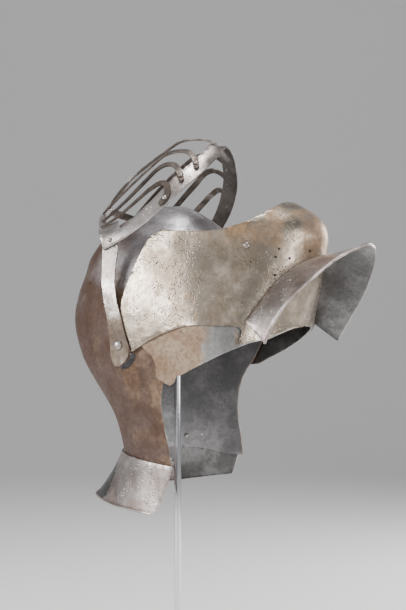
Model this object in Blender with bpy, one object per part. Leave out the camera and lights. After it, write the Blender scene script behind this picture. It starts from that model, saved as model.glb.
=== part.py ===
"""A knightly helmet of the armet kind with its bevor and barred visor thrown up, on a polished display rod.

Metres, +Z up. The helmet faces -Y and the wearer's right is -X. The origin is on the floor, on the rod's axis.
Inside the script a point of the helmet is given as (x, forward, up), counted from the pivot line that the bevor
and the visor turn about. A table of sections or of an outline holds shares of the named sizes beside it.
"""

import math

import bmesh
import bpy
from mathutils import Vector

# Driving dimensions, in metres
PIVOT_HEIGHT = 0.330  # floor to the pivot line
ROD_FORWARD = 0.012  # the rod stands this far in front of the pivot line
SHEET = 0.0016  # wall of every forged plate
GAP = 0.0004  # air between two plates that lie on each other

SKULL_LENGTH = 0.212
SKULL_WIDTH = 0.180
DOME_RISE = 0.1365  # pivot line to the crown
NECK_DROP = 0.120  # pivot line to the lower edge of the neck

BEVOR_REACH = 0.174  # pivot line to the prow
BEVOR_RISE = 0.137
EAR_RADIUS = 0.0088  # rounded ends of the plates round the pivot

COLLAR_REACH = 0.221  # pivot line to the lip of the front collar
COLLAR_RISE = 0.095
COLLAR_WIDTH = 0.167
COLLAR_RIGHT_RISE = 0.0105  # its right side is bent up this much more than its left
REAR_LIP_DROP = 0.161
REAR_LIP_BACK = 0.071
REAR_LIP_WIDTH = 0.164

VISOR_WIDTH = 0.186
VISOR_WALL = 0.0016
CORNER_BACK = 0.020  # the visor's two lower corners, where its arms join it
CORNER_RISE = 0.090
VISOR_LENGTH = 0.085  # corner to the rim's middle, along forward
VISOR_RISE = 0.100  # corner to the rim's middle, along up
VISOR_SWELL = 0.0255  # how far the bars bow out over the straight line from brow to rim
RIM_BAND = 0.0165
BROW_BAND = 0.008
BAR_WIDTH = 0.0058
ARM_WIDTH = 0.0135
ARM_WALL = 0.0020

PIVOT_PIN_RADIUS = 0.0028
PIVOT_HEAD_RADIUS = 0.0048
PIN_CLEARANCE = 0.0004
RIVET_RADIUS = 0.0024
STUD_RADIUS = 0.0034
STUD_FORWARD = 0.120  # the stud on the bevor's right side
STUD_RISE = 0.094

ROD_RADIUS = 0.0035
PAD_RADIUS = 0.010
PAD_THICKNESS = 0.005
BASE_RADIUS = 0.105
BASE_THICKNESS = 0.010

# Sides of the pivot stack, counted outwards from the helmet's middle plane
SKULL_SIDE = SKULL_WIDTH / 2
THROAT_SIDE = SKULL_SIDE + GAP + SHEET
BEVOR_SIDE = THROAT_SIDE + GAP + SHEET
ARM_SIDE = BEVOR_SIDE + GAP + ARM_WALL

# Sections of the skull, as shares: height of the dome's rise or of the neck's drop, the section's middle
# forward of the pivot line over the skull's length, and its length and width over the skull's own
SKULL_SECTIONS = (
    # up, middle, length, width
    (-1.000, 0.232, 0.790, 0.856),
    (-0.865, 0.226, 0.792, 0.858),
    (-0.750, 0.216, 0.802, 0.864),
    (-0.575, 0.196, 0.825, 0.889),
    (-0.375, 0.150, 0.888, 0.933),
    (-0.125, 0.097, 0.972, 0.983),
    (0.080, 0.072, 1.000, 1.000),
    (0.220, 0.060, 0.990, 0.994),
    (0.359, 0.040, 0.915, 0.956),
    (0.498, 0.028, 0.811, 0.878),
    (0.610, 0.012, 0.750, 0.810),
    (0.681, 0.007, 0.679, 0.750),
    (0.770, 0.006, 0.598, 0.650),
    (0.835, 0.007, 0.515, 0.545),
    (0.905, 0.012, 0.395, 0.410),
    (0.960, 0.019, 0.245, 0.250),
    (0.990, 0.022, 0.110, 0.110),
)

# Side outline of the skull's front and lower edges, from the brow down to the nape: forward over the skull's
# length, up over the neck's drop
SKULL_EDGE = (
    # forward, up
    (0.600, 0.290),
    (0.545, 0.285),
    (0.460, 0.225),
    (0.375, 0.125),
    (0.310, 0.000),
    (0.262, -0.140),
    (0.222, -0.225),
    (0.198, -0.300),
    (0.184, -0.400),
    (0.180, -0.520),
    (0.192, -0.660),
    (0.206, -0.775),
    (0.216, -0.900),
    (0.220, -0.960),
    (0.150, -0.955),
    (0.000, -0.905),
    (-0.300, -0.870),
)

# Level sections of the bevor's outer face at rest: height over its rise, half-width over the pivot stack's,
# prow over its reach, where the side starts to turn in over its reach, and how full the turn is
BEVOR_SECTIONS = (
    # up, width, prow, turn, fullness
    (-0.400, 0.960, 0.800, 0.360, 3.0),
    (-0.150, 0.990, 0.830, 0.360, 3.0),
    (0.000, 1.000, 0.845, 0.360, 3.0),
    (0.130, 1.000, 0.860, 0.340, 2.8),
    (0.260, 0.995, 0.895, 0.290, 2.6),
    (0.380, 0.975, 0.935, 0.240, 2.4),
    (0.510, 0.945, 0.968, 0.200, 2.3),
    (0.640, 0.905, 0.985, 0.180, 2.2),
    (0.740, 0.870, 0.998, 0.170, 2.2),
    (0.820, 0.845, 0.992, 0.170, 2.2),
    (0.900, 0.815, 0.945, 0.170, 2.2),
    (0.950, 0.795, 0.875, 0.170, 2.2),
    (1.005, 0.775, 0.785, 0.170, 2.2),
)

# Side outline of the bevor's outer plate, round from the ear at the pivot: shares of reach and rise
BEVOR_OUTLINE = (
    # forward, up
    (0.010, 0.232),
    (0.012, 0.314),
    (0.033, 0.404),
    (0.063, 0.507),
    (0.104, 0.639),
    (0.148, 0.749),
    (0.213, 0.803),
    (0.300, 0.795),
    (0.403, 0.788),
    (0.514, 0.791),
    (0.598, 0.815),
    (0.678, 0.851),
    (0.746, 0.907),
    (0.772, 0.961),
    (0.781, 1.001),
    (1.100, 1.001),
    (1.100, 0.126),
    (0.851, 0.126),
    (0.822, 0.089),
    (0.780, 0.050),
    (0.724, 0.028),
    (0.676, 0.010),
    (0.694, 0.060),
    (0.698, 0.105),
    (0.674, 0.137),
    (0.590, 0.139),
    (0.471, 0.143),
    (0.408, 0.137),
    (0.344, 0.115),
    (0.272, 0.083),
    (0.174, 0.027),
    (0.089, -0.038),
    (0.060, -0.046),
)

# Side outline of the throat plate that shows under the arch
THROAT_OUTLINE = (
    # forward, up
    (0.020, 0.230),
    (0.100, 0.340),
    (1.100, 0.340),
    (1.100, 0.138),
    (0.836, 0.138),
    (0.812, 0.086),
    (0.780, 0.046),
    (0.724, 0.024),
    (0.678, -0.007),
    (0.605, -0.053),
    (0.477, -0.136),
    (0.431, -0.161),
    (0.379, -0.197),
    (0.342, -0.212),
    (0.325, -0.257),
    (0.299, -0.274),
    (0.241, -0.237),
    (0.222, -0.217),
    (0.220, -0.140),
    (0.201, -0.072),
    (0.133, -0.004),
    (0.070, 0.010),
)

# Lower edge of the bevor's left side, worn shorter than the right: shares of reach and rise
LEFT_EDGE = (
    # forward, up
    (0.170, -0.180),
    (0.330, -0.163),
    (0.410, -0.112),
    (0.497, -0.058),
    (0.592, 0.004),
    (0.644, 0.039),
    (0.713, 0.084),
    (0.782, 0.117),
    (0.862, 0.135),
)

# The front collar: its root on the bevor's face and its lip, from the middle to the end of one side
COLLAR_ROWS = (
    # root forward and up over the bevor's reach and rise, lip forward, up and out over the collar's sizes
    (0.980, 0.628, 1.000, 1.000, 0.000),
    (0.955, 0.605, 0.993, 0.965, 0.130),
    (0.910, 0.560, 0.965, 0.880, 0.310),
    (0.850, 0.480, 0.912, 0.740, 0.545),
    (0.800, 0.390, 0.835, 0.515, 0.790),
    (0.755, 0.280, 0.755, 0.305, 0.940),
    (0.707, 0.168, 0.674, 0.030, 1.000),
)

# The visor's two borders at stations from the middle to a corner: out over its half-width, forward over its
# length and up over its rise, both counted from the corners
VISOR_STATIONS = (
    # brow out, forward, up, rim out, forward, up
    (0.000, -0.612, 0.410, 0.000, 1.025, 1.040),
    (0.215, -0.541, 0.375, 0.194, 1.015, 0.930),
    (0.440, -0.406, 0.315, 0.409, 0.935, 0.765),
    (0.624, -0.288, 0.255, 0.580, 0.835, 0.630),
    (0.763, -0.194, 0.215, 0.731, 0.682, 0.450),
    (0.871, -0.129, 0.190, 0.850, 0.494, 0.280),
    (0.957, -0.058, 0.165, 0.946, 0.282, 0.130),
    (1.000, -0.020, 0.140, 1.000, 0.000, 0.000),
)

# How far the face swells over the straight line from brow to rim, in even steps along it
VISOR_SWELLS = (
    # side, then the swell from the brow to the rim
    (0.00, 0, 0.38, 0.68, 0.84, 0.95, 1.00, 0.64, 0),
    (0.29, 0, 0.18, 0.39, 0.62, 0.84, 0.99, 0.70, 0),
    (0.43, 0, 0.07, 0.17, 0.30, 0.46, 0.60, 0.50, 0),
    (0.70, 0, 0.02, 0.06, 0.12, 0.19, 0.25, 0.20, 0),
    (1.00, 0, 0, 0, 0, 0, 0, 0, 0),
)

# Middle lines of one side's hooked bars, from the brow to the tip that lies back on the rim: side from the
# middle to a corner, along from brow to rim
HOOK_BARS = {
    "lower": (
        (0.590, 0.05), (0.560, 0.24), (0.515, 0.46), (0.500, 0.62), (0.480, 0.74), (0.465, 0.81),
        (0.472, 0.87), (0.500, 0.915), (0.545, 0.94), (0.600, 0.945),
    ),
    "middle": (
        (0.400, 0.05), (0.375, 0.24), (0.357, 0.46), (0.350, 0.62), (0.335, 0.72), (0.325, 0.79),
        (0.330, 0.84), (0.355, 0.885), (0.385, 0.92), (0.415, 0.95),
    ),
    "upper": (
        (0.225, 0.05), (0.213, 0.24), (0.206, 0.46), (0.206, 0.62), (0.203, 0.72), (0.195, 0.79),
        (0.197, 0.85), (0.220, 0.90), (0.250, 0.935), (0.280, 0.96),
    ),
}
BAR_RIVETS = {"lower": (0.548, 0.94), "middle": (0.385, 0.92), "upper": (0.250, 0.935)}

# A visor arm from its top under the band to its round end: shares of the corner's place, how far its middle
# lies inside the stack's side and how much further its front edge does, in metres, and its width
ARM_ROWS = (
    # forward, up, in, lean, width
    (-0.660, 1.150, 0.0096, 0.0008, 1.05),
    (-0.655, 1.075, 0.0078, 0.0012, 1.08),
    (-0.650, 1.000, 0.0071, 0.0013, 1.12),
    (-0.650, 0.830, 0.0048, 0.0008, 1.00),
    (-0.615, 0.655, 0.0022, 0.0003, 1.00),
    (-0.430, 0.467, 0.0000, 0.0, 1.03),
    (-0.210, 0.278, 0.0000, 0.0, 1.12),
    (-0.030, 0.100, 0.0000, 0.0, 1.28),
    (0.075, 0.000, 0.0000, 0.0, 1.48),
    (0.100, -0.055, 0.0000, 0.0, 1.54),
    (0.075, -0.122, 0.0000, 0.0, 1.36),
    (0.025, -0.178, 0.0000, 0.0, 0.96),
    (-0.075, -0.222, 0.0000, 0.0, 0.36),
)

SKULL_ROUNDNESS = 2.2
SIDE_START = 0.62  # share of the bevor's level section that turns, from the prow
REAR_LIP_END = 0.032
REAR_LIP_BACK_DROP = 0.149
REAR_LIP_LEFT = 0.008  # the left end of its lip reaches this much further forward
REAR_LIP_WORN = 0.027
REAR_LEFT_END = math.radians(85.5)
REAR_FLARE = 1.3
VISOR_END = 0.985
WINDOW_END = 0.830
CORNER_START = 0.580
CORNER_PLATE = 0.023  # width of the frame's closed corners, from the brow
FRAME_STEPS = 36
BAR_LIFT = 2 * GAP + VISOR_WALL  # outer face of the bars over the frame's
BAR_START = 0.02
RIDGE_END = 0.94
PIVOT_HEAD_RISE = 0.0022
PAD_HEIGHT = 0.960
FLAT_GAP = 0.0003
LEVELS_AROUND = 40
CRESCENT_FORWARD = -0.0009  # middle of the curved opening in the skull below the right pivot
CRESCENT_DROP = 0.007
CRESCENT_RADIUS = 0.0160
CRESCENT_INNER = 0.0100
CURVE_STEPS = 3


def place(x, forward, up):
    """A point given from the pivot line, in the world."""
    return Vector((x, ROD_FORWARD - forward, PIVOT_HEIGHT + up))


HEAD_MIDDLE = place(0, 0.02, 0.0)
VISOR_MIDDLE = place(0, 0.0, 0.09)


def blend(table, key):
    """A row of the table between its two rows round the key, on a smooth curve through all of them."""
    last = len(table) - 1
    i = max(k for k in range(last) if table[k][0] <= key or k == 0)
    t = min(1.0, max(0.0, (key - table[i][0]) / (table[i + 1][0] - table[i][0])))
    before, after = table[max(i - 1, 0)], table[min(i + 2, last)]
    return [spline(*values, t) for values in zip(before, table[i], table[i + 1], after)]


def spline(a, b, c, d, t):
    """Catmull-Rom value between b and c."""
    return 0.5 * (2 * b + (c - a) * t + (2 * a - 5 * b + 4 * c - d) * t**2 + (3 * b - a - 3 * c + d) * t**3)


def between(rows, key, mirror=()):
    """The row at a fractional place in the list, on a smooth curve. Columns in mirror turn their sign before
    the first row."""
    last = len(rows) - 1
    i = min(last - 1, max(0, int(key)))
    before = rows[max(i - 1, 0)]
    if i == 0 and mirror:
        before = [-value if k in mirror else value for k, value in enumerate(rows[1])]
    four = (before, rows[i], rows[i + 1], rows[min(i + 2, last)])
    return [spline(*values, key - i) for values in zip(*four)]


def smooth_line(points, steps=CURVE_STEPS):
    """The points joined by a smooth curve, with a few steps between each two."""
    last = len(points) - 1
    line = []
    for i in range(last):
        four = (points[max(i - 1, 0)], points[i], points[i + 1], points[min(i + 2, last)])
        for k in range(steps):
            line.append(tuple(spline(*values, k / steps) for values in zip(*four)))
    return line + [tuple(points[-1])]


def metal(name, colour, roughness, metallic=1.0):
    """A plain metal finish."""
    material = bpy.data.materials.new(name)
    material.use_nodes = True
    shader = material.node_tree.nodes["Principled BSDF"]
    shader.inputs["Base Color"].default_value = (*colour, 1.0)
    shader.inputs["Roughness"].default_value = roughness
    shader.inputs["Metallic"].default_value = metallic
    return material


def finish(name, mesh, material):
    """A named object with the mesh, its faces out and its round forms shaded smooth."""
    shape = bmesh.new()
    shape.from_mesh(mesh)
    bmesh.ops.recalc_face_normals(shape, faces=shape.faces)
    shape.to_mesh(mesh)
    shape.free()
    mesh.shade_smooth()
    mesh.set_sharp_from_angle(angle=math.radians(35))
    body = bpy.data.objects.new(name, mesh)
    body.data.materials.append(material)
    bpy.context.scene.collection.objects.link(body)
    return body


def sheet(name, rows, material, inside, wall=SHEET, ring=False, left_out=None):
    """A plate whose outer face runs through rows of points, with its wall towards the inside point."""
    shape = bmesh.new()
    grid = [[shape.verts.new(point) for point in row] for row in rows]
    for j in range(len(grid) - 1):
        low, high = grid[j], grid[j + 1]
        count = len(low) if ring else len(low) - 1
        for i in range(count):
            k = (i + 1) % len(low)
            if left_out is None or not left_out(i, j):
                shape.faces.new((low[i], low[k], high[k], high[i]))
    if ring:
        shape.faces.new(grid[-1])
    loose = [v for v in shape.verts if not v.link_faces]
    bmesh.ops.delete(shape, geom=loose, context="VERTS")
    shape.normal_update()
    outwards = sum(f.normal.dot(f.calc_center_median() - inside) * f.calc_area() for f in shape.faces)
    if outwards < 0:
        bmesh.ops.reverse_faces(shape, faces=shape.faces)
    mesh = bpy.data.meshes.new(name)
    shape.to_mesh(mesh)
    shape.free()
    plate = bpy.data.objects.new(name, mesh)
    mesh.shade_smooth()
    mesh.set_sharp_from_angle(angle=math.radians(35))
    mesh.materials.append(material)
    bpy.context.scene.collection.objects.link(plate)
    thick = plate.modifiers.new("wall", "SOLIDIFY")
    thick.thickness = wall
    thick.offset = -1.0
    thick.use_even_offset = True
    thick.use_quality_normals = True
    return plate


def slab(name, outline, from_x=-SKULL_WIDTH, to_x=SKULL_WIDTH):
    """A cutter with the side outline, right across the helmet or from one x to another."""
    shape = bmesh.new()
    face = shape.faces.new([shape.verts.new(place(from_x, f, u)) for f, u in outline])
    pushed = bmesh.ops.extrude_face_region(shape, geom=[face])["geom"]
    moved = [v for v in pushed if isinstance(v, bmesh.types.BMVert)]
    bmesh.ops.translate(shape, verts=moved, vec=(to_x - from_x, 0, 0))
    mesh = bpy.data.meshes.new(name)
    shape.to_mesh(mesh)
    shape.free()
    return as_cutter(finish(name, mesh, bpy.data.materials["cutter"]))


def rod_across(name, x, forward, up, radius, depth, material, sides=20):
    """A short round bar along X, its middle at x."""
    shape = bmesh.new()
    bmesh.ops.create_cone(
        shape, cap_ends=True, segments=sides, radius1=radius, radius2=radius, depth=depth
    )
    for v in shape.verts:
        v.co = place(x + v.co.z, forward + v.co.x, up + v.co.y)
    mesh = bpy.data.meshes.new(name)
    shape.to_mesh(mesh)
    shape.free()
    return finish(name, mesh, material)


def as_cutter(body):
    """Hides a shape that only cuts others."""
    body.hide_render = True
    body.display_type = "WIRE"
    return body


def cut(body, tool, operation="DIFFERENCE"):
    """Keeps or removes what lies inside the tool."""
    step = body.modifiers.new(tool.name, "BOOLEAN")
    step.operation = operation
    step.object = tool
    step.solver = "EXACT"


def rivet(name, seat, normal, radius, shank, material, plates, sides=10):
    """A domed rivet on its seat, its shank in a hole drilled through the plates behind it."""
    shape = bmesh.new()
    rise = 0.6 * radius
    profile = [
        (0.0, rise),
        (0.55 * radius, 0.86 * rise),
        (0.88 * radius, 0.5 * rise),
        (radius, 0.0),
        (0.5 * radius, 0.0),
        (0.5 * radius, -shank),
        (0.0, -shank),
    ]
    verts = [shape.verts.new((r, 0.0, z)) for r, z in profile]
    edges = [shape.edges.new(pair) for pair in zip(verts, verts[1:])]
    bmesh.ops.spin(
        shape, geom=verts + edges, cent=(0, 0, 0), axis=(0, 0, 1), angle=2 * math.pi, steps=sides,
        use_merge=True,
    )
    bmesh.ops.remove_doubles(shape, verts=shape.verts, dist=1e-6)
    turn = Vector((0, 0, 1)).rotation_difference(normal)
    for v in shape.verts:
        v.co = turn @ v.co + seat
    mesh = bpy.data.meshes.new(name)
    shape.to_mesh(mesh)
    shape.free()
    drill = bmesh.new()
    way = 0.5 * radius + PIN_CLEARANCE
    bmesh.ops.create_cone(drill, cap_ends=True, segments=sides, radius1=way, radius2=way, depth=3 * shank)
    for v in drill.verts:
        v.co = turn @ v.co + seat
    hole = bpy.data.meshes.new(name + "_hole")
    drill.to_mesh(hole)
    drill.free()
    cutter = as_cutter(finish(name + "_hole", hole, material))
    for plate in plates:
        cut(plate, cutter)
    return finish(name, mesh, material)


def visor_rivet(name, across, along, lift, shank, steel, plates):
    """A rivet square to the visor's face at a place on it."""
    here = visor_point(across, along, lift)
    return rivet(name, here, (here - visor_point(across, along, lift - 0.002)).normalized(), RIVET_RADIUS,
                 shank, steel, plates)


def skull_size(up):
    """Middle, half-length and half-width of the skull's level section at a height over the pivot line."""
    share = up / (DOME_RISE if up > 0 else NECK_DROP)
    _, middle, length, width = blend(SKULL_SECTIONS, share)
    return middle * SKULL_LENGTH, length * SKULL_LENGTH / 2, width * SKULL_WIDTH / 2


def skull_point(turn, up, outside=0.0):
    """A point of the skull's outer face: turn 0 is the middle of the back, a quarter turn the side."""
    middle, length, width = skull_size(up)
    c, s = math.cos(turn), math.sin(turn)
    roundness = 2 / SKULL_ROUNDNESS
    forward = middle - math.copysign(abs(c) ** roundness, c) * (length + outside)
    x = math.copysign(abs(s) ** roundness, s) * (width + outside)
    return place(x, forward, up)


def ear(start, end, steps=9):
    """Round end of a plate about the pivot, clockwise between two angles in degrees."""
    turns = [math.radians(start + (end - start) * k / steps) for k in range(steps + 1)]
    return [(EAR_RADIUS * math.cos(t), EAR_RADIUS * math.sin(t)) for t in turns]


def make_skull(steel):
    """The bowl: one shell from the crown to the neck, cut open in front below the brow."""
    heights = [row[0] * (DOME_RISE if row[0] > 0 else NECK_DROP) for row in SKULL_SECTIONS]
    turns = [2 * math.pi * k / LEVELS_AROUND for k in range(LEVELS_AROUND)]
    rows = [[skull_point(t, up) for t in turns] for up in heights]
    skull = sheet("skull", rows, steel, inside=HEAD_MIDDLE, ring=True)
    edge = [(f * SKULL_LENGTH, u * NECK_DROP) for f, u in SKULL_EDGE]
    (_, brow), (nape, _) = edge[0], edge[-1]
    clear = 2 * NECK_DROP
    around = [(nape, -clear), (clear, -clear), (clear, brow)]
    cut(skull, slab("face_cutter", edge + around))
    reach = SKULL_WIDTH + 4 * SHEET
    pin_way = PIVOT_PIN_RADIUS + PIN_CLEARANCE
    cut(skull, as_cutter(rod_across("skull_pin_cutter", 0, 0, 0, pin_way, reach, steel)))
    crescent = []
    for radius, start, end in ((CRESCENT_RADIUS, -2, -98), (CRESCENT_INNER, -98, -2)):
        for k in range(9):
            angle = math.radians(start + (end - start) * k / 8)
            crescent.append((
                CRESCENT_FORWARD + radius * math.cos(angle), radius * math.sin(angle) - CRESCENT_DROP
            ))
    cut(skull, slab("crescent_cutter", crescent, to_x=0.0))
    return skull


def make_rear_collar(steel):
    """The flared rear collar, riveted round the outside of the neck. Its left end has worn short."""
    turns = [math.pi / 2 * k / 12 for k in range(-12, 12)] + [REAR_LEFT_END]
    rows = []
    for share in (0.0, 0.35, 0.7, 1.0):
        row = []
        for t in turns:
            back = math.cos(t)
            root_up = -NECK_DROP * (0.955 - 0.095 * back)
            root = skull_point(t, root_up, GAP + SHEET)
            end_drop = REAR_LIP_DROP - (REAR_LIP_WORN if t > 0 else 0.0)
            drop = end_drop + (REAR_LIP_BACK_DROP - end_drop) * back
            end = REAR_LIP_END + (REAR_LIP_LEFT if t > 0 else 0.0)
            forward = end - (end + REAR_LIP_BACK) * back
            lip = place(REAR_LIP_WIDTH / 2 * math.sin(t), forward, -drop)
            point = root.lerp(lip, share**REAR_FLARE)
            point.z = root.z + (lip.z - root.z) * share
            row.append(point)
        rows.append(row)
    return sheet("rear_collar", rows, steel, inside=HEAD_MIDDLE)


def bevor_section(up):
    """Half-width, prow, start of the turn, fullness of the bevor's outer face at a height."""
    _, width, prow, turn, fullness = blend(BEVOR_SECTIONS, up / BEVOR_RISE)
    return width * BEVOR_SIDE, prow * BEVOR_REACH, turn * BEVOR_REACH, fullness


def bevor_point(across, up, inset=0.0):
    """A point of the bevor's outer face: across is 0 at the prow and 1 at the rear end of a side."""
    width, prow, turn, fullness = bevor_section(up)
    width, prow = width - inset, prow - inset
    share = min(1.0, abs(across) / SIDE_START)
    round_in = 0.5 + 0.15 * (3.0 - fullness)
    angle = share * math.pi / 2
    forward = turn + (prow - turn) * math.cos(angle) ** (2 / fullness)
    if abs(across) > SIDE_START:
        forward = turn + (-EAR_RADIUS * 1.5 - turn) * (abs(across) - SIDE_START) / (1 - SIDE_START)
    return place(math.copysign(width * math.sin(angle) ** (2 * round_in), across), forward, up)


def make_bevor_sheet(name, steel, outline, inset, low, high):
    """One of the two plates of the bevor, cut to its side outline."""
    steps = [BEVOR_RISE * (low + (high - low) * k / 14) for k in range(15)]
    places = [-1 + k / 16 for k in range(33)]
    rows = [[bevor_point(a, up, inset) for a in places] for up in steps]
    plate = sheet(name, rows, steel, inside=HEAD_MIDDLE)
    cut(plate, slab(name + "_outline", outline), "INTERSECT")
    worn = side_outline(LEFT_EDGE)
    below = [(worn[-1][0], -BEVOR_RISE), (worn[0][0], -BEVOR_RISE)]
    cut(plate, slab(name + "_wear", worn + below, from_x=0.0))
    pin_way = PIVOT_PIN_RADIUS + PIN_CLEARANCE
    cut(plate, as_cutter(rod_across(name + "_pin_cutter", 0, 0, 0, pin_way, 3 * SKULL_WIDTH / 2, steel)))
    return plate


def side_outline(table):
    """An outline table in metres."""
    return [(f * BEVOR_REACH, u * BEVOR_RISE) for f, u in table]


def make_front_collar(steel):
    """The flared front collar, riveted to the bevor's face under the prow."""
    root_row, lip_row = [], []
    for root_f, root_u, lip_f, lip_u, lip_x in COLLAR_ROWS:
        forward, up = root_f * BEVOR_REACH, root_u * BEVOR_RISE
        root_row.append(on_bevor(forward, up, GAP + SHEET * 0.5))
        lip_row.append(place(lip_x * COLLAR_WIDTH / 2, lip_f * COLLAR_REACH, lip_u * COLLAR_RISE))
    root_row = mirrored(smooth_line(root_row))
    lip_row = mirrored(smooth_line(lip_row))
    last = len(lip_row) // 2
    for i in range(last):
        lip_row[i].z += COLLAR_RIGHT_RISE * math.sin(math.pi * (i / last) ** 0.6)
    rows = [[a.lerp(b, k / 2) for a, b in zip(root_row, lip_row)] for k in range(3)]
    return sheet("front_collar", rows, steel, inside=place(0, 0.19, -0.02))


def on_bevor(forward, up, outside):
    """The point of the bevor's far-side face at a forward place and a height, lifted off it."""
    width, prow, turn, fullness = bevor_section(up)
    share = min(1.0, max(0.0, (forward - turn) / (prow - turn)))
    across = SIDE_START * math.acos(share ** (fullness / 2)) / (math.pi / 2)
    here = bevor_point(across, up)
    step = 0.01
    along = bevor_point(min(1.0, across + step), up) - bevor_point(across - step, up)
    climb = bevor_point(across, up + 0.002) - bevor_point(across, up - 0.002)
    normal = along.cross(climb).normalized()
    if normal.dot(here - HEAD_MIDDLE) < 0:
        normal = -normal
    if across < 1e-6:
        normal.x = 0
        here.x = 0
    return here + normal * outside


def mirrored(row):
    """A row from the middle plane to one side, made whole."""
    row = [Vector(point) for point in row]
    other = [Vector((-p.x, p.y, p.z)) for p in reversed(row[1:])]
    return other + row


def visor_point(across, along, lift=0.0):
    """A point of the visor's outer face: across is 0 in the middle and 1 at a corner, along runs from the
    brow to the rim."""
    if lift:
        step = 0.004
        a = visor_point(across + step, along) - visor_point(across - step, along)
        b = visor_point(across, along + step) - visor_point(across, along - step)
        normal = a.cross(b).normalized()
        here = visor_point(across, along)
        if normal.dot(here - VISOR_MIDDLE) < 0:
            normal = -normal
        return here + normal * lift
    side = min(1.0, abs(across))
    station = side * (len(VISOR_STATIONS) - 1)
    brow_x, brow_f, brow_u, rim_x, rim_f, rim_u = between(VISOR_STATIONS, station, mirror=(0, 3))
    brow = Vector((brow_x * VISOR_WIDTH / 2, brow_f * VISOR_LENGTH, brow_u * VISOR_RISE))
    rim = Vector((rim_x * VISOR_WIDTH / 2, rim_f * VISOR_LENGTH, rim_u * VISOR_RISE))
    chord = rim - brow
    outwards = Vector((0, -chord.z, chord.y)).normalized()
    swells = [(value,) for value in blend(VISOR_SWELLS, side)[1:]]
    (swell,) = between(swells, along * (len(swells) - 1))
    point = brow + chord * along + outwards * VISOR_SWELL * swell
    return place(math.copysign(point.x, across), point.y - CORNER_BACK, point.z + CORNER_RISE)


def band_end(across, start, step, width):
    """How far along the visor's face a band of the given width reaches from one border."""
    along, covered = start, 0.0
    here = visor_point(across, along)
    while covered < width:
        along += step
        ahead = visor_point(across, along)
        covered += (ahead - here).length
        here = ahead
    return along


def make_visor_frame(steel):
    """Brow band, side bands and rim of the visor, one forged frame round the opening of the bars."""
    places = [-VISOR_END + 2 * VISOR_END * k / FRAME_STEPS for k in range(FRAME_STEPS + 1)]
    rows = [[] for _ in range(6)]
    window = []
    for a in places:
        window.append(abs(a) < WINDOW_END)
        brow, rim = 0.35, 0.55
        if window[-1]:
            brow = band_end(a, 0.0, 0.005, CORNER_PLATE if abs(a) > CORNER_START else BROW_BAND)
            rim = band_end(a, 1.0, -0.005, RIM_BAND)
        for row, v in zip(rows, (0.0, brow / 2, brow, rim, (1 + rim) / 2, 1.0)):
            row.append(visor_point(a, v))
    def left_out(i, j):
        return j == 2 and window[i] and window[i + 1]
    return sheet("visor_frame", rows, steel, wall=VISOR_WALL, inside=VISOR_MIDDLE, left_out=left_out)


def ribbon(name, path, widths, steel, wall, lift):
    """A flat bar bent to the visor's face along a path of (across, along) places."""
    centres = [visor_point(a, v, lift) for a, v in path]
    left, right = [], []
    for i, point in enumerate(centres):
        before, after = centres[max(i - 1, 0)], centres[min(i + 1, len(centres) - 1)]
        ahead = (after - before).normalized()
        up = (visor_point(*path[i], lift + 0.002) - point).normalized()
        side = ahead.cross(up).normalized() * widths[i] / 2
        left.append(point - side)
        right.append(point + side)
    return sheet(name, [left, right], steel, wall=wall, inside=VISOR_MIDDLE)


def make_hook_bar(name, side, line, steel):
    """One bar: it runs from the brow over the face, turns round and lies back on the rim with its tip."""
    path = [(side * a, v) for a, v in smooth_line(line, 2)]
    widths = [BAR_WIDTH * min(1.0, 0.75 + 0.05 * k) for k in range(len(path) - 2)]
    widths += [BAR_WIDTH * 0.9, BAR_WIDTH * 0.3]
    return ribbon(name, path, widths, steel, VISOR_WALL, BAR_LIFT)


def make_ridge_bar(steel):
    """The straight bar in the visor's middle."""
    path = [(0.0, BAR_START + (RIDGE_END - BAR_START) * k / 18) for k in range(19)]
    return ribbon("ridge_bar", path, [BAR_WIDTH] * len(path), steel, VISOR_WALL, BAR_LIFT)


def make_arm(name, side, steel):
    """A strap from a lower corner of the visor to its pivot, round at the pivot, its top under the band."""
    rows = []
    for forward, up, x, lean, width in ARM_ROWS:
        middle = place(side * (ARM_SIDE - x), forward * CORNER_BACK, up * CORNER_RISE)
        half = Vector((side * lean, width * ARM_WIDTH / 2, 0))
        rows.append([middle + half, middle, middle - half])
    arm = sheet(name, rows, steel, wall=ARM_WALL, inside=HEAD_MIDDLE)
    way = PIVOT_PIN_RADIUS + PIN_CLEARANCE
    cutter = rod_across(name + "_pin_cutter", side * ARM_SIDE, 0, 0, way, 6 * ARM_WALL, steel)
    cut(arm, as_cutter(cutter))
    return arm


def make_pivot_rivet(name, side, steel):
    """The pivot of one side: a pin through skull, bevor and arm with a domed head outside and a burr inside."""
    shape = bmesh.new()
    head = ARM_SIDE + GAP
    burr = SKULL_SIDE - 2.4 * SHEET - GAP
    r, pin = PIVOT_HEAD_RADIUS, PIVOT_PIN_RADIUS
    profile = [
        (0.0, head + PIVOT_HEAD_RISE),
        (0.5 * r, head + 0.88 * PIVOT_HEAD_RISE),
        (0.86 * r, head + 0.5 * PIVOT_HEAD_RISE),
        (r, head),
        (pin, head),
        (pin, burr),
        (1.5 * pin, burr),
        (1.5 * pin, burr - SHEET),
        (0.0, burr - SHEET),
    ]
    verts = [shape.verts.new((side * x, 0.0, radius)) for radius, x in profile]
    edges = [shape.edges.new(pair) for pair in zip(verts, verts[1:])]
    bmesh.ops.spin(
        shape, geom=verts + edges, cent=(0, 0, 0), axis=(1, 0, 0), angle=2 * math.pi, steps=20,
        use_merge=True,
    )
    bmesh.ops.remove_doubles(shape, verts=shape.verts, dist=1e-6)
    bmesh.ops.translate(shape, verts=shape.verts, vec=place(0, 0, 0))
    mesh = bpy.data.meshes.new(name)
    shape.to_mesh(mesh)
    shape.free()
    return finish(name, mesh, steel)


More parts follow.
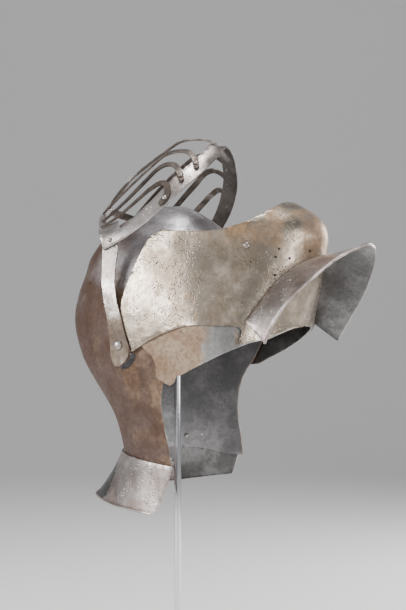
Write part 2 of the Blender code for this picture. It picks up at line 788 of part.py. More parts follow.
def make_stand(polished, plain):
    """A polished rod on a plain round foot; a small pad on its top carries the crown."""
    top = place(0, ROD_FORWARD, DOME_RISE * PAD_HEIGHT).z
    for name, radius, low, high, material, sides in (
        ("stand_rod", ROD_RADIUS, BASE_THICKNESS + FLAT_GAP, top - PAD_THICKNESS - FLAT_GAP, polished, 20),
        ("stand_pad", PAD_RADIUS, top - PAD_THICKNESS, top, plain, 24),
        ("stand_foot", BASE_RADIUS, 0.0, BASE_THICKNESS, plain, 64),
    ):
        shape = bmesh.new()
        bmesh.ops.create_cone(
            shape, cap_ends=True, segments=sides, radius1=radius, radius2=radius, depth=high - low
        )
        bmesh.ops.translate(shape, verts=shape.verts, vec=(0, 0, (high + low) / 2))
        mesh = bpy.data.meshes.new(name)
        shape.to_mesh(mesh)
        shape.free()
        finish(name, mesh, material)


def hang_on(name, parts):
    """An empty on the pivot line that carries the parts which turn together."""
    pivot = bpy.data.objects.new(name, None)
    pivot.location = place(0, 0, 0)
    bpy.context.scene.collection.objects.link(pivot)
    bpy.context.view_layer.update()
    for part in parts:
        part.parent = pivot
        part.matrix_parent_inverse = pivot.matrix_world.inverted()


for old in list(bpy.data.objects):
    bpy.data.objects.remove(old)

metal("cutter", (0.5, 0.5, 0.5), 0.5)
bowl_steel = metal("bowl_steel", (0.23, 0.19, 0.17), 0.48)
plate_steel = metal("plate_steel", (0.46, 0.43, 0.38), 0.40)
throat_steel = metal("throat_steel", (0.30, 0.29, 0.28), 0.50)
collar_steel = metal("collar_steel", (0.42, 0.38, 0.40), 0.42)
bar_steel = metal("bar_steel", (0.36, 0.32, 0.31), 0.42)
rivet_steel = metal("rivet_steel", (0.34, 0.29, 0.25), 0.45)
rod_steel = metal("rod_steel", (0.75, 0.75, 0.77), 0.12)
foot_steel = metal("foot_steel", (0.10, 0.10, 0.11), 0.45)

make_skull(bowl_steel)
make_rear_collar(collar_steel)
bevor_outline = side_outline(BEVOR_OUTLINE) + ear(-35, -255)
throat_outline = side_outline(THROAT_OUTLINE) + ear(-10, -255)
bevor_plate = make_bevor_sheet("bevor_plate", plate_steel, bevor_outline, 0.0, -0.09, 1.005)
throat_plate = make_bevor_sheet(
    "throat_plate", throat_steel, throat_outline, GAP + SHEET, -0.33, 0.38
)
front_collar = make_front_collar(collar_steel)
stud_seat = on_bevor(STUD_FORWARD, STUD_RISE, FLAT_GAP)
stud_foot = on_bevor(STUD_FORWARD, STUD_RISE, -SHEET)
for point in (stud_seat, stud_foot):
    point.x = -point.x
bevor_stud = rivet("bevor_stud", stud_seat, (stud_seat - stud_foot).normalized(), STUD_RADIUS, 2 * SHEET,
                   rivet_steel, [bevor_plate])
frame = make_visor_frame(bar_steel)
ridge = make_ridge_bar(bar_steel)
visor_parts = [frame, ridge]
for side, hand in ((-1, "right"), (1, "left")):
    make_pivot_rivet(f"pivot_rivet_{hand}", side, rivet_steel)
    arm = make_arm(f"visor_arm_{hand}", side, bar_steel)
    bars = {bar: make_hook_bar(f"{bar}_bar_{hand}", side, line, bar_steel) for bar, line in HOOK_BARS.items()}
    visor_parts += [arm, *bars.values()]
    visor_parts.append(visor_rivet(
        f"arm_rivet_{hand}", side * 0.919, 0.66, FLAT_GAP, 2 * VISOR_WALL + ARM_WALL, rivet_steel, [frame, arm]
    ))
    for bar, (across, along) in BAR_RIVETS.items():
        visor_parts.append(visor_rivet(
            f"{bar}_rivet_{hand}", side * across, along, BAR_LIFT + FLAT_GAP, 3 * VISOR_WALL, rivet_steel,
            [frame, bars[bar]],
        ))
make_stand(rod_steel, foot_steel)

hang_on("bevor_pivot", [bevor_plate, throat_plate, front_collar, bevor_stud])
hang_on("visor_pivot", visor_parts)
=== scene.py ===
"""The armet on its stand, finished: worn plates, hooked visor bars, rivets, turned edges and a studio."""

import math

import bmesh
import bpy
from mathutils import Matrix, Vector, noise
from mathutils.bvhtree import BVHTree


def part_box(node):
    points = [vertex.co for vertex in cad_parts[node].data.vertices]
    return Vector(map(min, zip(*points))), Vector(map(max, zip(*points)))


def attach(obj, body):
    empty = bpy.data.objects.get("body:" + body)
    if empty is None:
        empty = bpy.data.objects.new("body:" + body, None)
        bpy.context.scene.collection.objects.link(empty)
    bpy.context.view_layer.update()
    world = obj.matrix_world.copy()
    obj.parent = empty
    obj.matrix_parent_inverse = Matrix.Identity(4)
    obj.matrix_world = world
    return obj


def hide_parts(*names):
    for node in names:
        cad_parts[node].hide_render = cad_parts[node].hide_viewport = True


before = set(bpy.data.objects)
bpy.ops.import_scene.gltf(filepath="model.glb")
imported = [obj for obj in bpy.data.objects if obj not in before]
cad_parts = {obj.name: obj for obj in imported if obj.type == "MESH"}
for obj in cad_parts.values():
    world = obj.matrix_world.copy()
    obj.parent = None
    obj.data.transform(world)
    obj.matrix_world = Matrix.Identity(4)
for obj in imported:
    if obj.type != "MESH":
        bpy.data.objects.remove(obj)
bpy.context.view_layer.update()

# The studio: pale paper that curves up from a floor into a wall. Soft lamps stand behind the wearer's right
# side, over the crown, before the mouth, beyond the prow and, a weak one, beside the camera.
PICTURE_WIDE, PICTURE_HIGH = 406, 610
PIVOT = Vector((0, 0.012, 0.330))
AIM_RIGHT, AIM_UP = 0.0358, 0.0383  # from the pivot to the middle of the picture
CAMERA_TURN = math.radians(28)  # from the wearer's right side towards the front
CAMERA_DISTANCE = 1.7
CAMERA_LENS = 100.33
CAMERA_SENSOR = 36.0
to_camera = Vector((-math.cos(CAMERA_TURN), -math.sin(CAMERA_TURN), 0))
to_right = Vector((math.sin(CAMERA_TURN), -math.cos(CAMERA_TURN), 0))
upwards = Vector((0, 0, 1))
aim = PIVOT + AIM_RIGHT * to_right + AIM_UP * upwards


def face(thing, target):
    """Turns a lamp or the camera to look at a point."""
    thing.rotation_euler = (target - thing.location).to_track_quat("-Z", "Y").to_euler()


lens = bpy.data.cameras.new("camera")
lens.lens = CAMERA_LENS
lens.sensor_width = CAMERA_SENSOR
camera = bpy.data.objects.new("camera", lens)
camera.location = aim + CAMERA_DISTANCE * to_camera
face(camera, aim)
bpy.context.scene.collection.objects.link(camera)
bpy.context.scene.camera = camera

LAMPS = (
    # name, towards the camera, to its right, up from the pivot, size, watts
    ("key", 0.70, -1.15, 0.42, 0.62, 17.0),
    ("crown", 0.10, 0.15, 1.40, 0.60, 15.0),
    ("front", 0.80, 1.20, 0.20, 0.70, 9.5),
    ("prow", -0.62, 1.05, 0.30, 0.55, 17.0),
    ("fill", 1.30, -0.10, 0.30, 0.90, 3.0),
)
for name, near, right, up, size, watts in LAMPS:
    light = bpy.data.lights.new(name, "AREA")
    light.size = size
    light.energy = watts
    lamp = bpy.data.objects.new(name, light)
    lamp.location = PIVOT + near * to_camera + right * to_right + up * upwards
    face(lamp, PIVOT)
    bpy.context.scene.collection.objects.link(lamp)

ROOM_COLOUR = (0.80, 0.82, 0.86, 1)
ROOM_LIGHT = 0.36
world = bpy.data.worlds.new("studio")
world.use_nodes = True
world.node_tree.nodes["Background"].inputs["Color"].default_value = ROOM_COLOUR
world.node_tree.nodes["Background"].inputs["Strength"].default_value = ROOM_LIGHT
bpy.context.scene.world = world

FLOOR_HALF = 6.0
WALL_AWAY = 3.2
WALL_CURVE = 1.2
CURVE_STEPS = 12
profile = [(-FLOOR_HALF, 0.0)]
for k in range(CURVE_STEPS + 1):
    turn = 0.5 * math.pi * k / CURVE_STEPS
    profile.append((WALL_AWAY - WALL_CURVE * (1 - math.sin(turn)), WALL_CURVE * (1 - math.cos(turn))))
profile.append((WALL_AWAY, FLOOR_HALF))
sweep = bmesh.new()
line = [
    sweep.verts.new(-away * to_camera - FLOOR_HALF * to_right + height * upwards) for away, height in profile
]
edges = [sweep.edges.new(pair) for pair in zip(line, line[1:])]
pushed = bmesh.ops.extrude_edge_only(sweep, edges=edges)["geom"]
moved = [v for v in pushed if isinstance(v, bmesh.types.BMVert)]
bmesh.ops.translate(sweep, verts=moved, vec=2 * FLOOR_HALF * to_right)
floor_mesh = bpy.data.meshes.new("floor")
sweep.to_mesh(floor_mesh)
sweep.free()
floor_mesh.shade_smooth()
floor = bpy.data.objects.new("floor", floor_mesh)
bpy.context.scene.collection.objects.link(floor)
paper = bpy.data.materials.new("pale_paper")
paper.use_nodes = True
paper.node_tree.nodes["Principled BSDF"].inputs["Base Color"].default_value = (0.86, 0.85, 0.84, 1)
paper.node_tree.nodes["Principled BSDF"].inputs["Roughness"].default_value = 0.9
floor_mesh.materials.append(paper)


# The skull: one bowl forged hot from a single plate of steel, then planished, with a low ridge over the
# crown. Its back and neck have gone brown with old rust, the crown and the brow are cleaned bright. The rust
# is painted darker towards the back as a painted shade, and a little darker towards the foot of the neck.
class Amount:
    """A number that changes over a surface, for sums written in Python."""

    def __init__(self, finish, socket):
        self.finish = finish
        self.socket = socket

    def sum(self, operation, first, second):
        node = self.finish.node("ShaderNodeMath", {"operation": operation}, {0: first, 1: second})
        return Amount(self.finish, node.outputs[0])

    def __add__(self, other):
        return self.sum("ADD", self, other)

    def __sub__(self, other):
        return self.sum("SUBTRACT", self, other)

    def __rsub__(self, other):
        return self.sum("SUBTRACT", other, self)

    def __mul__(self, other):
        return self.sum("MULTIPLY", self, other)

    __radd__ = __add__
    __rmul__ = __mul__

    def at_most(self, other):
        return self.sum("MINIMUM", self, other)

    def at_least(self, other):
        return self.sum("MAXIMUM", self, other)

    def step(self, low, high):
        """A soft step from 0 at low to 1 at high."""
        node = self.finish.node(
            "ShaderNodeMapRange", {"interpolation_type": "SMOOTHSTEP"},
            {"Value": self, "From Min": low, "From Max": high},
        )
        return Amount(self.finish, node.outputs[0])


def shade(colour, by):
    """A colour made darker or paler."""
    return tuple(min(1.0, by * part) for part in colour)


class Finish:
    """The finish of one kind of surface, put together node by node. Places are in metres, y to the back."""

    # How many of each there are to a metre of old steel
    CLOUDS = 38
    GRAINS = 230
    PITS = 520
    PIT_GROUPS = 70
    SCRATCHES = 60
    STAINS = 34
    # How deep each reaches, or stands up, as a share of the relief
    CLOUD_RISE, GRAIN_RISE, RUST_RISE, SCRATCH_DEPTH, PIT_DEPTH = 0.25, 0.35, 0.8, 0.25, 1.0
    SCRATCH_SHARE = 0.5
    RUST_METAL = 0.3  # how much of the metal's gloss old rust keeps

    def __init__(self, name):
        self.material = bpy.data.materials.new(name)
        self.material.use_nodes = True
        self.tree = self.material.node_tree
        self.shader = self.tree.nodes["Principled BSDF"]
        self.place = self.node("ShaderNodeTexCoord").outputs["Object"]
        parts = self.node("ShaderNodeSeparateXYZ", inputs={0: self.place}).outputs
        self.x, self.y, self.z = (Amount(self, part) for part in parts)

    def node(self, kind, settings=None, inputs=None):
        """One node: its settings first, then the values or links of its sockets."""
        made = self.tree.nodes.new(kind)
        for key, value in (settings or {}).items():
            setattr(made, key, value)
        self.feed(made, inputs or {})
        return made

    def feed(self, node, inputs):
        """Gives sockets their values or links."""
        for key, value in inputs.items():
            if isinstance(value, Amount):
                value = value.socket
            if isinstance(value, bpy.types.NodeSocket):
                self.tree.links.new(value, node.inputs[key])
            elif isinstance(value, tuple) and node.inputs[key].type == "RGBA":
                node.inputs[key].default_value = (*value, 1.0)
            else:
                node.inputs[key].default_value = value

    def noise(self, scale, detail=4.0, stretch=(1, 1, 1), shift=0.0):
        """Clouds of the given number to a metre, 0 to 1, drawn out along an axis by a small stretch."""
        at = self.node(
            "ShaderNodeMapping",
            inputs={"Vector": self.place, "Scale": stretch, "Location": (shift, shift, shift)},
        )
        cloud = self.node(
            "ShaderNodeTexNoise", inputs={"Vector": at.outputs[0], "Scale": scale, "Detail": detail}
        )
        return Amount(self, cloud.outputs["Fac"])

    def patches(self, scale, detail, shift, spread):
        """Clouds that lie as far over 0 as under it."""
        return (self.noise(scale, detail, shift=shift) - 0.5) * spread

    def cells(self, scale):
        """Distance from scattered points, the given number to a metre."""
        points = self.node("ShaderNodeTexVoronoi", inputs={"Vector": self.place, "Scale": scale})
        return Amount(self, points.outputs["Distance"])

    def mix(self, share, first, second):
        """A colour between two."""
        made = self.node("ShaderNodeMix", {"data_type": "RGBA"}, {0: share, 6: first, 7: second})
        return made.outputs[2]

    def wear(self, pale, dark, rust, rust_pale, rust_dark, roughness, relief=0.00022, lean=0.0,
             metal_share=1.0):
        """Old steel: clouded, pitted and scratched, rusty where the rust amount says."""
        clouds = self.noise(self.CLOUDS, 7.0).step(0.36, 0.66)
        grain = self.noise(self.GRAINS, 6.0, shift=3.0)
        groups = self.noise(self.PIT_GROUPS, 3.0, shift=7.0).step(0.45, 0.62)
        pits = (1 - self.cells(self.PITS).step(0.05, 0.42)) * groups
        long_marks = self.noise(self.SCRATCHES, 3.0, stretch=(16, 1.3, 9), shift=1.0).step(0.60, 0.72)
        cross_marks = self.noise(self.SCRATCHES, 3.0, stretch=(2, 14, 1.5), shift=5.0).step(0.62, 0.74)
        marks = long_marks.at_least(cross_marks) * self.SCRATCH_SHARE

        # The bare metal, from broad clouds to fine pits
        metal = self.mix(clouds, dark, pale)
        metal = self.mix(grain.step(0.42, 0.62) * 0.35, metal, shade(dark, 0.7))
        metal = self.mix(marks * 0.55, metal, shade(pale, 1.25))
        metal = self.mix(pits * 0.75, metal, shade(dark, 0.35))

        # The rust that lies over it
        stains = (self.noise(self.STAINS, 9.0, shift=9.0) + lean).step(0.32, 0.68)
        stained = self.mix(stains, rust_pale, rust_dark)
        stained = self.mix(grain.step(0.38, 0.66) * 0.55, stained, shade(rust_dark, 0.62))
        stained = self.mix(pits * 0.4, stained, shade(rust_dark, 0.5))

        # Rust is rougher than metal and swells where it sits, scratches and pits go down
        self.feed(self.shader, {
            "Base Color": self.mix(rust, metal, stained),
            "Roughness": (clouds * -0.08 + grain * 0.22 + rust * 0.22 + roughness).at_most(0.95),
            "Metallic": (1 - rust * (1 - self.RUST_METAL)) * metal_share,
        })
        raised = grain * self.GRAIN_RISE + clouds * self.CLOUD_RISE + rust * grain * self.RUST_RISE
        height = raised - marks * self.SCRATCH_DEPTH - pits * self.PIT_DEPTH
        bump = self.node("ShaderNodeBump", inputs={"Height": height, "Strength": 0.85, "Distance": relief})
        self.feed(self.shader, {"Normal": bump.outputs[0]})


BEATEN = 0.0004  # how far the hammer's marks rise and fall
BROAD_MARKS, FINE_MARKS, FINE_SHARE = 42, 110, 0.45  # hammer marks to a metre
SHARP_ANGLE = math.radians(38)
OPEN_ANGLE = 4.0  # taken for an edge that has one face
LONGEST_EDGE = 0.004
MERGE = 1e-6


def uneven(point):
    """How far a forged plate stands off its true form at a place."""
    return BEATEN * (noise.noise(point * BROAD_MARKS) + FINE_SHARE * noise.noise(point * FINE_MARKS))


def outward(point):
    """The way from the middle of the pivot line to a place."""
    return (point - PIVOT).normalized()


def dress(name, shape, body, finish, slot, *nodes):
    """Makes a piece of a shape, gives it its finish and its body, and lets it stand for nodes."""
    mesh = bpy.data.meshes.new(name)
    shape.to_mesh(mesh)
    shape.free()
    mesh.shade_smooth()
    mesh.set_sharp_from_angle(angle=SHARP_ANGLE)
    mesh.materials.append(finish.material)
    piece = bpy.data.objects.new(name, mesh)
    bpy.context.scene.collection.objects.link(piece)
    even = piece.modifiers.new("even_shading", "WEIGHTED_NORMAL")
    even.mode = "FACE_AREA"
    even.keep_sharp = True
    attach(piece, body)
    if nodes:
        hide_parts(*nodes)
    return piece


DRILL_SIDES = 16
DRILL_DEPTH = 0.012


def punch(piece, holes):
    """Cuts round holes right through a plate: each at a point, along a direction, of a radius."""
    drills = bmesh.new()
    for point, along, radius in holes:
        made = bmesh.ops.create_cone(
            drills, cap_ends=True, segments=DRILL_SIDES, radius1=radius, radius2=radius, depth=DRILL_DEPTH
        )
        turn = upwards.rotation_difference(along)
        for v in made["verts"]:
            v.co = turn @ v.co + point
    mesh = bpy.data.meshes.new(piece.name + "_drills")
    drills.to_mesh(mesh)
    drills.free()
    tool = bpy.data.objects.new(mesh.name, mesh)
    bpy.context.scene.collection.objects.link(tool)
    step = piece.modifiers.new("holes", "BOOLEAN")
    step.operation = "DIFFERENCE"
    step.solver = "EXACT"
    step.object = tool
    bpy.context.view_layer.update()
    cut_mesh = bpy.data.meshes.new_from_object(piece.evaluated_get(bpy.context.evaluated_depsgraph_get()))
    piece.modifiers.clear()
    piece.data = cut_mesh
    bpy.data.objects.remove(tool)


def forge(node, body, finish, slot, cuts=0, shift=None, inner=None, holes=()):
    """A finer copy of a node, its facets rounded and beaten a little uneven, that stands for it."""
    shape = bmesh.new()
    shape.from_mesh(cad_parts[node].data)
    bmesh.ops.remove_doubles(shape, verts=shape.verts, dist=MERGE)
    for _ in range(cuts):
        long_edges = [e for e in shape.edges if e.calc_length() > LONGEST_EDGE]
        bmesh.ops.subdivide_edges(shape, edges=long_edges, cuts=1)
        bmesh.ops.triangulate(shape, faces=shape.faces)
    shape.normal_update()
    edged = {v for e in shape.edges if e.calc_face_angle(OPEN_ANGLE) > SHARP_ANGLE for v in e.verts}
    beside = {e.other_vert(v) for v in edged for e in v.link_edges}
    rounded = [v for v in shape.verts if v not in edged and v not in beside]
    for _ in range(2 * cuts):
        bmesh.ops.smooth_vert(
            shape, verts=rounded, factor=0.5, use_axis_x=True, use_axis_y=True, use_axis_z=True
        )
    for v in shape.verts:
        v.co += outward(v.co) * uneven(v.co)
        if shift:
            v.co += shift(v.co.copy())
    if inner:
        shape.normal_update()
        for f in shape.faces:
            middle = f.calc_center_median()
            from_axis = middle - Vector((0, middle.y * 0.5, PIVOT.z))
            f.material_index = int(f.normal.dot(from_axis) < 0)
    piece = dress(node + "_worn", shape, body, finish, slot, node)
    if inner:
        piece.data.materials.append(inner.material)
    if holes:
        punch(piece, holes)
    return piece


bowl_inside = Finish("inner_bowl_dull")
bowl_inside.wear(
    pale=(0.33, 0.32, 0.32), dark=(0.19, 0.185, 0.185),
    rust=bowl_inside.noise(34, 6.0, shift=2.0).step(0.62, 0.80) * 0.4,
    rust_pale=(0.20, 0.16, 0.12), rust_dark=(0.11, 0.08, 0.06),
    roughness=0.42, relief=0.0003, metal_share=0.4,
)

BOWL_BACK = (-0.030, 0.060)  # the bowl turns brown between these, front to back
BOWL_LOW = (0.335, 0.425)  # and below these heights
NECK = (0.22, 0.36)
bowl = Finish("bowl_steel_worn")
behind = bowl.y.step(*BOWL_BACK) * 0.62
below = 1 - bowl.z.step(*BOWL_LOW)
browned = (behind.at_least(below) + bowl.patches(30, 8.0, 4.0, 0.9)).step(0.12, 0.72)
# Painted shade: the rust turns darker towards the back, which faces away from the lamps, and a little darker
# towards the foot of the neck
painted_back_shade_darker_neck = bowl.y.step(-0.045, 0.060) * 0.34 + (1 - bowl.z.step(*NECK)) * 0.10 - 0.10
bowl.wear(
    pale=(0.78, 0.75, 0.78), dark=(0.34, 0.31, 0.32), rust=browned * 0.94,
    rust_pale=(0.25, 0.145, 0.068), rust_dark=(0.075, 0.031, 0.012),
    roughness=0.30, relief=0.00035, lean=painted_back_shade_darker_neck,
)

RIDGE_RISE = 0.0017
RIDGE_HALF = 0.006
RIDGE_FROM, RIDGE_FADE = 0.40, 0.03  # where it starts, and how far it takes to rise


def crown_ridge(point):
    """The low ridge along the middle of the crown."""
    share = max(0.0, 1 - abs(point.x) / RIDGE_HALF)
    over = min(1.0, max(0.0, (point.z - RIDGE_FROM) / RIDGE_FADE))
    return Vector((0, 0, RIDGE_RISE * share * over))


FOCAL_PIXELS = PICTURE_HIGH * CAMERA_LENS / CAMERA_SENSOR


def seen(node, across, down):
    """The place of a node's surface that shows at a place of the picture, and which way it faces."""
    across -= PICTURE_WIDE / 2
    down -= PICTURE_HIGH / 2
    way = across * to_right - down * upwards - FOCAL_PIXELS * to_camera
    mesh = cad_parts[node].data
    tree = BVHTree.FromPolygons([v.co for v in mesh.vertices], [p.vertices for p in mesh.polygons])
    point, normal, _, _ = tree.ray_cast(camera.location, way.normalized())
    return point, normal if normal.dot(way) < 0 else -normal


def holes_in(node, places):
    """Round holes square to a node's surface at places of the picture, each with its radius."""
    return [(*seen(node, across, down), radius) for across, down, radius in places]


SKULL_HOLES = ((90, 283, 0.0012), (202, 434.3, 0.0013))  # across, down, radius
forge("skull", "bowl", bowl, "bowl_steel", cuts=2, shift=crown_ridge, inner=bowl_inside,
      holes=holes_in("skull", SKULL_HOLES))

# The rear collar: a flared lame of thin pale steel, riveted round the back of the neck, its lower edge
# turned over a wire. The cleaned face has a brown bloom along its upper edge, the inner face is dull and
# painted dark grey as a painted shade.
# Inner faces of the collars, bevor and throat: dull steel with spots of real rust, its dark grey a painted
# shade
inside = Finish("inner_steel_dull_painted_shade")
inside.wear(
    pale=(0.235, 0.23, 0.228), dark=(0.12, 0.115, 0.112),
    rust=inside.noise(34, 6.0, shift=2.0).step(0.62, 0.80) * 0.5,
    rust_pale=(0.20, 0.15, 0.11), rust_dark=(0.11, 0.08, 0.06), roughness=0.36, relief=0.0003,
)

collar = Finish("collar_steel_worn")
bloom = (collar.noise(48, 7.0, shift=2.0) + collar.y.step(0.0, 0.09) * 0.16).step(0.54, 0.76)
collar.wear(
    pale=(0.70, 0.63, 0.60), dark=(0.33, 0.27, 0.25), rust=bloom * 0.6,
    rust_pale=(0.33, 0.235, 0.175), rust_dark=(0.17, 0.11, 0.08), roughness=0.30, relief=0.00036,
)
forge("rear_collar", "bowl", collar, "collar_steel", cuts=2, inner=inside)

RAGGED = 0.0003  # how far a turned edge's small bends rise and fall
RAGS = 300  # how many there are to a metre


def turned_edge(name, points, radius, body):
    """The rolled edge of a lame: a thin round along its lip."""
    curve = bpy.data.curves.new(name, "CURVE")
    curve.dimensions = "3D"
    curve.bevel_depth = radius
    curve.bevel_resolution = 4
    curve.use_fill_caps = True
    line = curve.splines.new("POLY")
    line.points.add(len(points) - 1)
    for dot, point in zip(line.points, points):
        dot.co = (*point, 1.0)
    tube = bpy.data.objects.new(name, curve)
    rolled = bmesh.new()
    rolled.from_mesh(tube.to_mesh())
    bpy.data.objects.remove(tube)
    bmesh.ops.remove_doubles(rolled, verts=rolled.verts, dist=MERGE)
    bmesh.ops.recalc_face_normals(rolled, faces=rolled.faces)
    for v in rolled.verts:
        v.co += outward(v.co) * (uneven(v.co) + RAGGED * noise.noise(v.co * RAGS))
    return dress(name, rolled, body, collar, "collar_steel")


REAR_EDGE_RADIUS = 0.0011
REAR_LIP_HALF = 0.082
REAR_LIP_BACK = 0.071
REAR_LIP_DROP = 0.149
RIGHT_END = (0.032, 0.161)  # how far in front of the pivot the lip ends, and how far below it
LEFT_END = (0.040, 0.134)
LIP_FROM, LIP_TO = math.radians(-88), math.radians(84)
LIP_STEPS = 60
LIP_LIFT = 0.0004  # the tube's middle lies this far over the collar's cut edge
lip = []
for k in range(LIP_STEPS + 1):
    turn = LIP_FROM + (LIP_TO - LIP_FROM) * k / LIP_STEPS
    end, end_drop = LEFT_END if turn > 0 else RIGHT_END
    forward = end - (end + REAR_LIP_BACK) * math.cos(turn)
    drop = end_drop + (REAR_LIP_DROP - end_drop) * math.cos(turn)
    lip.append(PIVOT + Vector((REAR_LIP_HALF * math.sin(turn), -forward, LIP_LIFT - drop)))
turned_edge("rear_collar_edge", lip, REAR_EDGE_RADIUS, "bowl")

# The bevor: two plates of steel that guard the chin, the outer one drawn to a keeled prow, arched below. Warm
# bright steel, pitted all over, with orange rust by the prow and in streaks under the arch. Planished cold.
PROW = (-0.150, -0.100)  # the prow's rust ends between these, front to back
PROW_TOP = (0.395, 0.430)
UPPER_EDGE = (0.418, 0.436)
UPPER_END = (-0.10, -0.04)
plate = Finish("plate_steel_worn")
prow = (1 - plate.y.step(*PROW)) * plate.z.step(*PROW_TOP)
upper = plate.z.step(*UPPER_EDGE) * (1 - plate.y.step(*UPPER_END))
orange = prow.at_least(upper * 0.8) * plate.noise(42, 7.0, shift=8.0).step(0.40, 0.62)
speckle = plate.noise(150, 7.0, shift=6.0).step(0.58, 0.70) * (1 - plate.z.step(0.36, 0.42))
plate.wear(
    pale=(0.47, 0.40, 0.325), dark=(0.25, 0.20, 0.152), rust=(orange * 0.75).at_least(speckle * 0.45),
    rust_pale=(0.46, 0.26, 0.11), rust_dark=(0.24, 0.14, 0.075), roughness=0.24, relief=0.00034,
)
BEVOR_HOLES = (
    # across, down, radius
    (279.2, 248.8, 0.0013),
    (275.7, 256.9, 0.0012),
    (289.7, 258.3, 0.0014),
    (310.0, 251.0, 0.0013),
    (274.8, 275.0, 0.0013),
    (250.7, 261.7, 0.0008),
    (241.8, 302.9, 0.0010),
    (237.5, 308.3, 0.0010),
)
forge("bevor_plate", "bevor", plate, "plate_steel", cuts=2, inner=inside,
      holes=holes_in("bevor_plate", BEVOR_HOLES))

ARCH = (0.325, 0.345)  # the streaks run down from these heights
THROAT_REAR = (-0.100, -0.055)  # the crust covers the plate behind these
throat = Finish("throat_steel_worn")
streaks = throat.noise(46, 5.0, stretch=(1.0, 2.4, 0.4), shift=2.0).step(0.54, 0.66) * throat.z.step(*ARCH)
crust = (throat.y.step(*THROAT_REAR) + throat.patches(60, 7.0, 1.0, 1.2)).step(0.25, 0.65)
throat.wear(
    pale=(0.40, 0.40, 0.39), dark=(0.25, 0.24, 0.23), rust=(streaks * 0.8).at_least(crust * 0.85),
    rust_pale=(0.42, 0.32, 0.21), rust_dark=(0.30, 0.17, 0.09), roughness=0.36, relief=0.0004,
)
forge("throat_plate", "bevor", throat, "throat_steel", cuts=2, inner=inside)

# The front collar: a flared lame riveted under the prow, pale and pinkish outside, dull inside with spots of
# rust and painted dark grey there as a painted shade. Its lip is turned outwards over a wire, and the right
# side of it is bent up.
FRONT_HOLES = ((360.0, 252.0, 0.0012),)
forge("front_collar", "bevor", collar, "collar_steel", cuts=2, inner=inside,
      holes=holes_in("front_collar", FRONT_HOLES))

FRONT_EDGE_RADIUS = 0.0010
FRONT_HALF, FRONT_REACH, FRONT_RISE = 0.0835, 0.2203, 0.095
RIGHT_RISE, RISE_BEND = 0.0105, 0.6  # how far the right side is bent up, and how near the front
FRONT_STEPS = 48
FRONT_LIP = (
    # out, forward, up over the collar's half-width, reach and rise
    (0.000, 1.000, 1.000),
    (0.130, 0.993, 0.965),
    (0.310, 0.965, 0.880),
    (0.545, 0.912, 0.740),
    (0.790, 0.835, 0.515),
    (0.940, 0.755, 0.305),
    (1.000, 0.674, 0.030),
)


def eased(points, share):
    """A place along a smooth curve through the points, from 0 at the first to 1 at the last."""
    place = share * (len(points) - 1)
    i = min(int(place), len(points) - 2)
    a, b = points[max(i - 1, 0)], points[i]
    c, d = points[i + 1], points[min(i + 2, len(points) - 1)]
    t = place - i
    return [
        0.5 * (2 * q + (r - p) * t + (2 * p - 5 * q + 4 * r - s) * t**2 + (3 * q - p - 3 * r + s) * t**3)
        for p, q, r, s in zip(a, b, c, d)
    ]


lip = []
for k in range(-FRONT_STEPS, FRONT_STEPS + 1):
    share = abs(k) / FRONT_STEPS
    out, forward, up = eased(FRONT_LIP, share)
    bent = RIGHT_RISE * math.sin(math.pi * (1 - share) ** RISE_BEND) if k < 0 else 0.0
    aside = math.copysign(out * FRONT_HALF, k)
    lip.append(PIVOT + Vector((aside, -forward * FRONT_REACH, up * FRONT_RISE + bent)))
turned_edge("front_collar_edge", lip, FRONT_EDGE_RADIUS, "bevor")

# The visor: a forged frame with hooked bars that lie over it, each tip turned back and riveted to the rim.
# The near band is pale steel, the bars are brown, the far rim and the brow are painted near black as a
# painted shade, and the bars' edges are eased.
bar = Finish("bar_steel_worn")
bar.wear(
    pale=(0.26, 0.225, 0.20), dark=(0.095, 0.075, 0.065),
    rust=bar.noise(90, 7.0, shift=5.0).step(0.36, 0.60) * 0.85,
    rust_pale=(0.115, 0.085, 0.066), rust_dark=(0.052, 0.036, 0.026), roughness=0.27, relief=0.00024,
)

FAR_SIDE = (-0.010, 0.030)  # the frame is painted near black between these, to the wearer's left, a painted shade
BROW = (-0.055, -0.035)  # and in front of these
band = Finish("band_steel_worn_painted_shade")
# Painted shade: the far rim and the brow, unlit from this side, are painted near black through the rust
# colours below
far_rim_painted_shade = band.x.step(*FAR_SIDE).at_least(1 - band.y.step(*BROW)) * 0.9
band.wear(
    # The near-black rust colours carry the painted shade of the far rim and brow, and the noise patches are
    # real rust
    pale=(0.78, 0.73, 0.70), dark=(0.40, 0.345, 0.32),
    rust=(far_rim_painted_shade + band.patches(70, 7.0, 5.0, 0.9)).step(0.25, 0.85) * 0.9,
    rust_pale=(0.055, 0.042, 0.031), rust_dark=(0.028, 0.020, 0.015), roughness=0.30, relief=0.00025,
)
forge("visor_frame", "visor", band, "bar_steel", cuts=1)

BAR_EASE = 0.0006
hooked_bars = [f"{which}_bar_{hand}" for which in ("lower", "middle", "upper") for hand in ("right", "left")]
for node in ["ridge_bar"] + hooked_bars:
    piece = forge(node, "visor", bar, "bar_steel")
    eased_edges = piece.modifiers.new("eased_edges", "BEVEL")
    eased_edges.width = BAR_EASE
    eased_edges.segments = 2
    eased_edges.limit_method = "ANGLE"
    eased_edges.angle_limit = SHARP_ANGLE

# The arms: straps that carry the visor, one on each side, ending round over the pivot. Bright cleaned steel,
# browner towards the pivot.
ARM_LOW = (0.345, 0.400)
strap = Finish("strap_steel_worn")
lower_part = 1 - strap.z.step(*ARM_LOW)
strap.wear(
    pale=(0.62, 0.58, 0.55), dark=(0.42, 0.37, 0.335),
    rust=(lower_part * 0.75 + strap.patches(60, 7.0, 2.0, 1.1)).step(0.20, 0.75) * 0.9,
    rust_pale=(0.22, 0.145, 0.085), rust_dark=(0.095, 0.055, 0.030), roughness=0.30,
)
for hand in ("right", "left"):
    forge(f"visor_arm_{hand}", "visor", strap, "bar_steel")

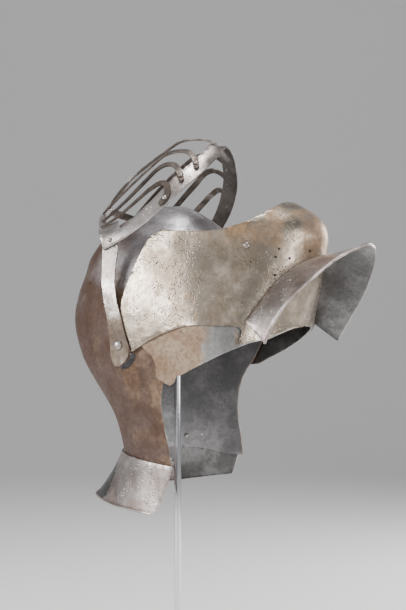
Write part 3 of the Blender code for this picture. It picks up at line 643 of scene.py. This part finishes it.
# Rivets and the stud: iron, hammered over by hand, browned round their rims. Two more low rivet heads hold
# the rear collar to the neck.
iron = Finish("rivet_steel_worn")
iron.wear(
    pale=(0.58, 0.54, 0.50), dark=(0.34, 0.29, 0.26), rust=iron.noise(160, 4.0).step(0.52, 0.70) * 0.6,
    rust_pale=(0.24, 0.16, 0.11), rust_dark=(0.12, 0.08, 0.05), roughness=0.30,
)
for hand in ("right", "left"):
    forge(f"pivot_rivet_{hand}", "bowl", iron, "rivet_steel")
    for which in ("arm", "lower", "middle", "upper"):
        forge(f"{which}_rivet_{hand}", "visor", iron, "rivet_steel")
forge("bevor_stud", "bevor", iron, "rivet_steel")

DOME_SIDES, DOME_RINGS = 28, 16
DOME_HEIGHT = 0.55  # of its radius
DOME_SUNK = 0.0003
DOMES = (
    # name, the node that it sits on, across, down, radius
    ("collar_rivet_right", "rear_collar", 150.3, 471.7, 0.0025),
    ("neck_rivet_left", "skull", 186.4, 435.5, 0.0026),
)
for name, node, across, down, radius in DOMES:
    point, normal = seen(node, across, down)
    head = bmesh.new()
    bmesh.ops.create_uvsphere(head, u_segments=DOME_SIDES, v_segments=DOME_RINGS, radius=radius)
    bmesh.ops.bisect_plane(
        head, geom=head.verts[:] + head.edges[:] + head.faces[:], plane_co=(0, 0, 0), plane_no=(0, 0, -1),
        clear_outer=True,
    )
    bmesh.ops.holes_fill(head, edges=[e for e in head.edges if e.is_boundary], sides=0)
    bmesh.ops.scale(head, verts=head.verts, vec=(1, 1, DOME_HEIGHT))
    turn = upwards.rotation_difference(normal)
    for v in head.verts:
        v.co = turn @ v.co + point - normal * DOME_SUNK
    dress(name, head, "bowl", iron, "rivet_steel")

# The stand: a polished steel rod on a heavy round foot in dark satin paint, with a small pad under the crown.
# Turned on a lathe, the edges eased.
chrome = Finish("rod_steel_polished")
turning = chrome.noise(500, 2.0, stretch=(0.02, 0.02, 1.0))
chrome.feed(chrome.shader, {
    "Base Color": (0.78, 0.78, 0.81),
    "Metallic": 1.0,
    "Roughness": turning * 0.05 + 0.07,
})

satin = Finish("foot_paint_satin")
peel = satin.noise(900, 2.0)
satin_bump = satin.node("ShaderNodeBump", inputs={"Height": peel, "Strength": 0.4, "Distance": 0.0001})
satin.feed(satin.shader, {
    "Base Color": satin.mix(satin.noise(25, 3.0), (0.028, 0.028, 0.032), (0.045, 0.045, 0.050)),
    "Roughness": peel * 0.12 + 0.36,
    "Normal": satin_bump.outputs[0],
})

STAND = (
    # node, finish, slot, how far its rims are eased, sides
    ("stand_rod", chrome, "rod_steel", 0.0004, 64),
    ("stand_pad", satin, "foot_steel", 0.0012, 64),
    ("stand_foot", satin, "foot_steel", 0.0020, 160),
)
for node, finish, slot, ease, sides in STAND:
    low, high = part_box(node)
    radius = (high.x - low.x) / 2
    turned = bmesh.new()
    bmesh.ops.create_cone(
        turned, cap_ends=True, segments=sides, radius1=radius, radius2=radius, depth=high.z - low.z
    )
    rims = [e for e in turned.edges if len({round(v.co.z, 6) for v in e.verts}) == 1]
    bmesh.ops.bevel(turned, geom=rims, offset=ease, segments=3, profile=0.5, affect="EDGES", material=-1)
    bmesh.ops.translate(turned, verts=turned.verts, vec=(low + high) / 2)
    dress(node + "_turned", turned, "bowl", finish, slot, node)
